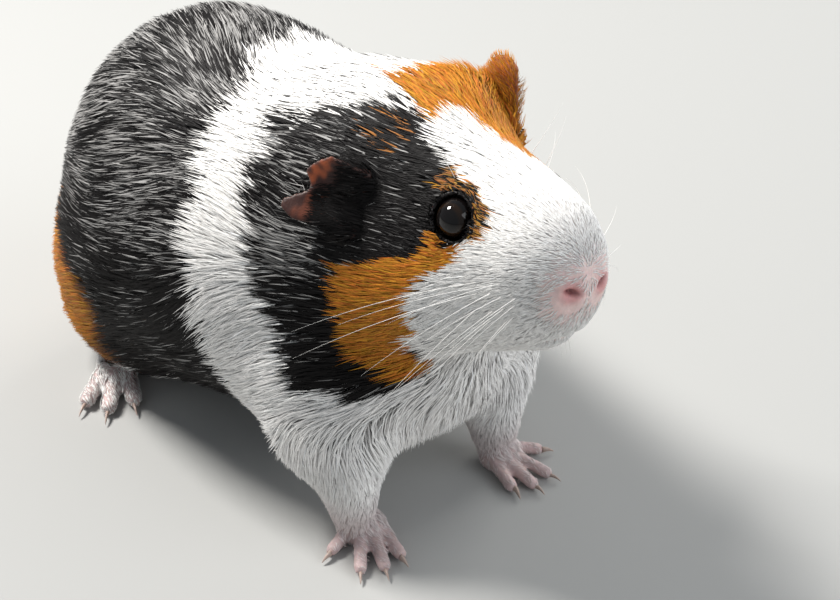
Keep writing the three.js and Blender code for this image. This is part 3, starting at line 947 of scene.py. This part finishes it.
# A horn curve from the claw's base to its tip, where its solid has them.
def makeClaw(name):
    q = vertsOf(nodes[name])
    foot = "forefoot_" if "fore" in name else "hindfoot_"
    heel = boxMiddle(foot + ("left" if "left" in name else "right"))
    middle = q.mean(axis=0)
    away = unit((middle - heel) * [1, 1, 0])
    up = np.array([0, 0, 1])
    sideways = np.cross(away, up)
    reach = (q - middle) @ away
    tip = q[reach > reach.max() - 0.05].mean(axis=0)
    base = q[reach < reach.min() + 0.3].mean(axis=0)
    breadth = max(np.ptp((q - base) @ sideways), clawPlan["breadthLeast"])
    radius = min(clawPlan["thick"] * breadth, clawPlan["radiusMost"])
    tip[2] = max(tip[2], 0.12)
    long = np.linalg.norm(tip - base)
    verts = []
    faces = []
    count = clawPlan["segments"]
    around = clawPlan["around"]
    for i in range(count + 1):
        t = i / count
        centre = base * (1 - t) + tip * t + up * (math.sin(math.pi * t) * clawPlan["arch"] * long)
        thick = radius * (1 - t) ** 0.7 * 0.95 + 0.06
        for k in range(around):
            angle = 2 * math.pi * k / around
            point = centre + (sideways * math.cos(angle) * 0.8 + up * math.sin(angle)) * thick
            point[2] = max(point[2], clawPlan["floor"])
            verts.append(point * mm)
    for i in range(count):
        for k in range(around):
            a = i * around + k
            b = i * around + (k + 1) % around
            faces.append((a, b, b + around, a + around))
    faces.append(tuple(range(around))[::-1])
    faces.append(tuple(count * around + k for k in range(around)))
    claw = objectOf(name.replace("claw", "horn"), verts, faces)
    bm = bmesh.new()
    bm.from_mesh(claw.data)
    bmesh.ops.recalc_face_normals(bm, faces=bm.faces)
    bm.to_mesh(claw.data)
    bm.free()
    return claw


def clawMaterial():
    material, tree, shader = newMaterial("hornClaw", Roughness=0.38, Subsurface_Weight=0.1)
    shader.inputs["Subsurface Radius"].default_value = (0.001, 0.0006, 0.0004)
    grain = paintGrain(tree, shader, 1500, clawPlan["dark"], clawPlan["light"])
    addBump(tree, shader, grain, "Fac", 0.2, 0.0001)
    return material


whisker = {
    "rootRadius": 0.00010,  # metres
    "tip": 0.12,  # how thick the tip is, of the root
    "steps": 14,
    "rows": [-1.0, -4.0, -7.0, -10.0],  # heights of the rows on the muzzle, in the head's frame, mm
    "columns": [42.0, 39.0, 36.0, 33.0],
    "length": [17, 25, 33, 40],  # by column, front to back, mm
    "browHairs": {1: 3, -1: 1},  # over the left and the right eye
    "chinHairs": 4,  # on each side
    "seed": 5,
    "dark": (0.74, 0.72, 0.68, 1),
    "light": (0.93, 0.92, 0.90, 1),
}


# Roots with the way each whisker points, its length and its bend: cheeks, brows and chin.
def whiskerRoots(tree):
    rng = np.random.default_rng(whisker["seed"])
    hairs = []
    for sign in (1, -1):
        for row, z in enumerate(whisker["rows"]):
            for column, x in enumerate(whisker["columns"]):
                if (row, column) in ((0, 0), (3, 3)):  # the corners of the pad have none
                    continue
                at = np.array([x, sign * 14, z - 0.2 * (42 - x)]) + rng.normal(size=3) * 0.4
                droop = 0.1 + 0.28 * row if sign < 0 else 0.28 * row - 0.4
                way = [-0.30 - 0.12 * column, sign * 0.9, -droop]
                length = whisker["length"][column] * rng.uniform(0.85, 1.1)
                bend = np.array([-0.18, -0.12 * sign, -0.24]) * length
                hairs.append((at, np.array(way) + rng.normal(size=3) * 0.09, length, bend))
        for k in range(whisker["browHairs"][sign]):
            at = np.array([20 + 4 * k, sign * 13, 18.0])
            way = np.array([0.35 - 0.2 * k, sign * 0.6, 0.9])
            hairs.append((at, way, 17 - 3 * k, np.array([-0.2, 0, -0.1]) * 15))
        for k in range(whisker["chinHairs"]):
            at = np.array([34 + 2.5 * k, sign * 5, -22.0])
            hairs.append((at, np.array([-0.1, sign * 0.35, -0.9]), 7 + k % 2 * 3, np.array([-0.2, 0, 0]) * 6))
    roots = []
    for at, way, length, bend in hairs:
        start = headMiddle + headTurn @ at
        spot = tree.find_nearest(Vector(start * mm))[0]
        roots.append((np.array(spot), headTurn @ unit(way), length * mm, headTurn @ bend * mm))
    return roots


# A tree that grows one tapering bent hair from each point, along its "way" attribute.
def whiskerTree(material):
    tree = bpy.data.node_groups.new("growWhiskers", "GeometryNodeTree")
    tree.interface.new_socket("Geometry", in_out="INPUT", socket_type="NodeSocketGeometry")
    radius = tree.interface.new_socket("rootRadius", in_out="INPUT", socket_type="NodeSocketFloat")
    steps = tree.interface.new_socket("steps", in_out="INPUT", socket_type="NodeSocketInt")
    tree.interface.new_socket("Geometry", in_out="OUTPUT", socket_type="NodeSocketGeometry")

    def node(kind, inputs=None, **settings):
        made = tree.nodes.new(kind)
        for key, value in settings.items():
            setattr(made, key, value)
        for key, value in (inputs or {}).items():
            made.inputs[key].default_value = value
        return made

    def named(name, kind):
        return node("GeometryNodeInputNamedAttribute", {"Name": name}, data_type=kind).outputs["Attribute"]

    def join(a, b):
        tree.links.new(a, b)

    source = node("NodeGroupInput")
    line = node("GeometryNodeCurvePrimitiveLine", {"End": (0, 0, 1)})
    fine = node("GeometryNodeResampleCurve")
    join(line.outputs["Curve"], fine.inputs["Curve"])
    join(source.outputs["steps"], fine.inputs["Count"])
    factor = node("GeometryNodeSplineParameter")
    keep = node("GeometryNodeStoreNamedAttribute", {"Name": "along"}, data_type="FLOAT", domain="POINT")
    join(fine.outputs["Curve"], keep.inputs["Geometry"])
    join(factor.outputs["Factor"], keep.inputs["Value"])
    taper = node("ShaderNodeMapRange", {"To Min": 1, "To Max": whisker["tip"]})
    join(factor.outputs["Factor"], taper.inputs["Value"])
    thick = node("ShaderNodeMath", operation="MULTIPLY")
    join(taper.outputs["Result"], thick.inputs[0])
    join(source.outputs["rootRadius"], thick.inputs[1])
    ring = node("GeometryNodeCurvePrimitiveCircle", {"Resolution": 5, "Radius": 1})
    swept = node("GeometryNodeCurveToMesh", {"Fill Caps": True})
    join(keep.outputs["Geometry"], swept.inputs["Curve"])
    join(thick.outputs["Value"], swept.inputs["Scale"])
    join(ring.outputs["Curve"], swept.inputs["Profile Curve"])
    turn = node("FunctionNodeAlignRotationToVector", axis="Z")
    join(named("way", "FLOAT_VECTOR"), turn.inputs["Vector"])
    stretch = node("ShaderNodeCombineXYZ", {"X": 1, "Y": 1})
    join(named("reach", "FLOAT"), stretch.inputs["Z"])
    grown = node("GeometryNodeInstanceOnPoints")
    join(source.outputs["Geometry"], grown.inputs["Points"])
    join(swept.outputs["Mesh"], grown.inputs["Instance"])
    join(turn.outputs["Rotation"], grown.inputs["Rotation"])
    join(stretch.outputs["Vector"], grown.inputs["Scale"])
    real = node("GeometryNodeRealizeInstances")
    join(grown.outputs["Instances"], real.inputs["Geometry"])
    square = node("ShaderNodeMath", {1: 2}, operation="POWER")
    join(named("along", "FLOAT"), square.inputs[0])
    bent = node("ShaderNodeVectorMath", operation="SCALE")
    join(named("bend", "FLOAT_VECTOR"), bent.inputs["Vector"])
    join(square.outputs["Value"], bent.inputs["Scale"])
    moved = node("GeometryNodeSetPosition")
    join(real.outputs["Geometry"], moved.inputs["Geometry"])
    join(bent.outputs["Vector"], moved.inputs["Offset"])
    paint = node("GeometryNodeSetMaterial", {"Material": material})
    join(moved.outputs["Geometry"], paint.inputs["Geometry"])
    join(paint.outputs["Geometry"], node("NodeGroupOutput").inputs["Geometry"])
    return tree, radius.identifier, steps.identifier


def whiskerMaterial():
    material, tree, shader = newMaterial("whiskerHair", Roughness=0.3)
    paintGrain(tree, shader, 60, whisker["dark"], whisker["light"])
    return material


def makeWhiskers(skin):
    tree = BVHTree.FromObject(skin, bpy.context.evaluated_depsgraph_get())
    roots = whiskerRoots(tree)
    points = objectOf("whiskerRoots", [r[0] for r in roots], [])
    for column, name in enumerate(("way", "reach", "bend"), start=1):
        kind, field = ("FLOAT", "value") if name == "reach" else ("FLOAT_VECTOR", "vector")
        layer = points.data.attributes.new(name, kind, "POINT")
        layer.data.foreach_set(field, np.array([r[column] for r in roots], np.float32).ravel())
    group, radius, steps = whiskerTree(whiskerMaterial())
    grow = points.modifiers.new("grow", "NODES")
    grow.node_group = group
    grow[radius] = whisker["rootRadius"]
    grow[steps] = whisker["steps"]
    mesh = bpy.data.meshes.new_from_object(points.evaluated_get(bpy.context.evaluated_depsgraph_get()))
    bpy.data.objects.remove(points)
    for name in ("way", "reach", "bend", "along"):
        if name in mesh.attributes:
            mesh.attributes.remove(mesh.attributes[name])
    shadeSmooth(mesh)
    mesh.name = "whiskers"
    print("whiskers:", len(roots), "hairs,", len(mesh.polygons), "faces")
    return placed("whiskers", mesh)


def unwrap(piece):
    for other in bpy.context.selected_objects:
        other.select_set(False)
    bpy.context.view_layer.objects.active = piece
    piece.select_set(True)
    bpy.ops.object.mode_set(mode="EDIT")
    bpy.ops.mesh.select_all(action="SELECT")
    piece.data.uv_layers.new(name="OFBake")
    bpy.ops.uv.smart_project(angle_limit=math.radians(66), island_margin=0.002)
    bpy.ops.object.mode_set(mode="OBJECT")


skin = makeSkin()
unwrap(skin)
print("skin:", len(skin.data.polygons), "faces, unwrapped")
setColours(skin, skinColours(vertsOf(skin), normalsOf(skin)))
skin.data.materials.clear()
skin.data.materials.append(skinMaterial())
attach(skin, "root")
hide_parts(*fleshNodes)

hair = hairMaterial()
for piece in makeCoat(skin):
    piece.data.materials.append(hair)
    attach(piece, "root")
    print("made", piece.name, len(piece.data.polygons))

whiskers = makeWhiskers(skin)
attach(whiskers, "root")

wet = eyeMaterial()
for side, _ in sides:
    eye = makeEye(side)
    eye.data.materials.append(wet)
    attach(eye, "root")
    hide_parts("eye_" + side)

horn = clawMaterial()
for name in sorted(n for n in nodes if n.startswith("claw")):
    claw = makeClaw(name)
    claw.data.materials.append(horn)
    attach(claw, "root")
    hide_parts(name)
print("eyes and claws made")


studio = {
    "azimuth": 50,  # degrees round from looking along +Y
    "elevation": 35,
    "distance": 0.4,  # metres, as all lengths here
    "target": (0.03055, 0.0059, 0.05314),
    "lens": 66.857,  # of a 36 mm sensor
    "sensor": 36,
    "nearest": 0.01,  # the camera sees nothing nearer
    "floorHalf": 3,
    "floorColour": (0.40, 0.40, 0.39, 1),
    "aim": (0, 0, 0.05),  # where the lights point
    # each light's name, place, power in watts, width and colour
    "lights": [
        ("key", (-0.50, -0.22, 0.85), 16, 0.25, (1.0, 0.975, 0.94)),
        ("fill", (0.9, 0.55, 0.6), 6, 0.9, (0.95, 0.97, 1.0)),
        ("rim", (-0.2, 0.9, 0.6), 5, 0.6, (1.0, 0.99, 0.96)),
    ],
    "sky": (0.80, 0.86, 0.92, 1),
    "skyStrength": 0.38,
}


def makeStudio():
    half = studio["floorHalf"]
    mesh = bpy.data.meshes.new("floor")
    mesh.from_pydata([(-half, -half, 0), (half, -half, 0), (half, half, 0), (-half, half, 0)], [],
                     [(0, 1, 2, 3)])
    material, _, _ = newMaterial("paleFloor", Base_Color=studio["floorColour"], Roughness=0.8)
    mesh.materials.append(material)
    floor = placed("floor", mesh)

    azimuth = math.radians(studio["azimuth"])
    elevation = math.radians(studio["elevation"])
    flat = math.cos(elevation)
    back = Vector((math.sin(azimuth) * flat, -math.cos(azimuth) * flat, math.sin(elevation)))
    camera = placed("camera", bpy.data.cameras.new("camera"))
    camera.data.lens = studio["lens"]
    camera.data.sensor_width = studio["sensor"]
    camera.data.clip_start = studio["nearest"]
    camera.location = Vector(studio["target"]) + back * studio["distance"]
    camera.rotation_euler = (-back).to_track_quat("-Z", "Y").to_euler()
    bpy.context.scene.camera = camera

    for name, place, power, size, colour in studio["lights"]:
        light = placed(name, bpy.data.lights.new(name, "AREA"))
        light.data.energy = power
        light.data.size = size
        light.data.color = colour
        light.location = place
        light.rotation_euler = (Vector(place) - Vector(studio["aim"])).to_track_quat("Z", "Y").to_euler()

    world = bpy.data.worlds.new("world")
    world.use_nodes = True
    background = world.node_tree.nodes["Background"]
    background.inputs["Color"].default_value = studio["sky"]
    background.inputs["Strength"].default_value = studio["skyStrength"]
    bpy.context.scene.world = world
    bpy.context.scene.view_settings.view_transform = "Standard"


makeStudio()
